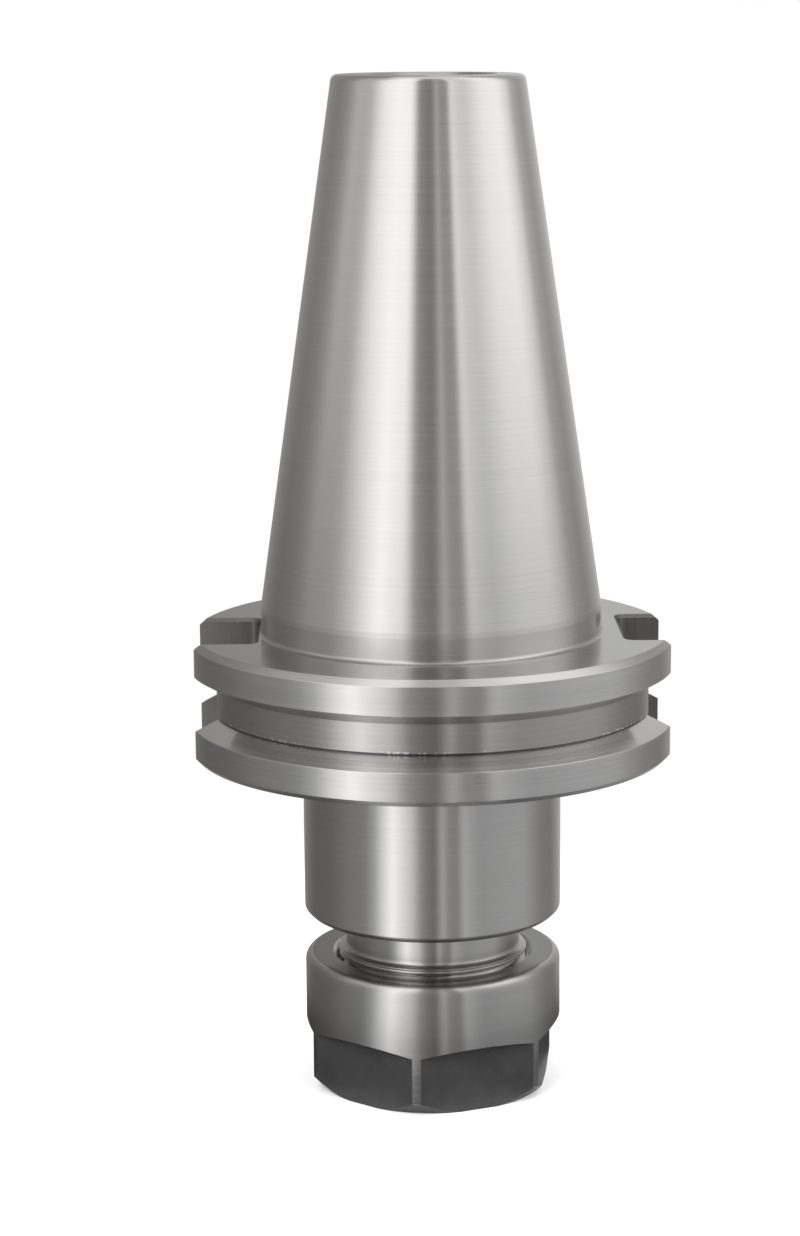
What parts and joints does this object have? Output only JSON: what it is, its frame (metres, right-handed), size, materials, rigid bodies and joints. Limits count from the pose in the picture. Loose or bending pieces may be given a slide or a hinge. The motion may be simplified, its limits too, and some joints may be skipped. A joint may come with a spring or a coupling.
{
  "type": "collet chuck holder",
  "caption": "Steel V-flange milling chuck: steep taper shank, grooved flange with drive slots, turned neck, spring collet and hex clamping nut.",
  "frame": {"origin": "centre of the taper's gauge line, on the spindle axis", "axes": "+Z along the spindle axis towards the taper's small end, +X through the shallow drive slot, the clamping nut at the bottom"},
  "size_m": [0.0614, 0.0634, 0.1328],
  "materials": {
    "ground_steel": "fine ground and turned, satin",
    "collet_steel": "ground spring steel",
    "nut_steel": "turned bright outside, hex flats left matt black"
  },
  "bodies": {
    "holder": {"holder_body": "ground_steel"},
    "collet": {"spring_collet": "collet_steel"},
    "nut": {"clamping_nut": "nut_steel"}
  },
  "joints": [
    {"name": "collet_slide", "type": "slide", "parent": "holder", "child": "collet", "axis": [0, 0, 1], "range_m": [-0.0075, 0]},
    {"name": "nut_turn", "type": "hinge", "parent": "collet", "child": "nut", "pos_m": [0, 0, -0.055], "axis": [0, 0, 1], "range_deg": [-1801, 0]}
  ],
  "couplings": [
    {"joint": "nut_turn", "follows": "collet_slide", "rad_per_m": 4188.8}
  ]
}
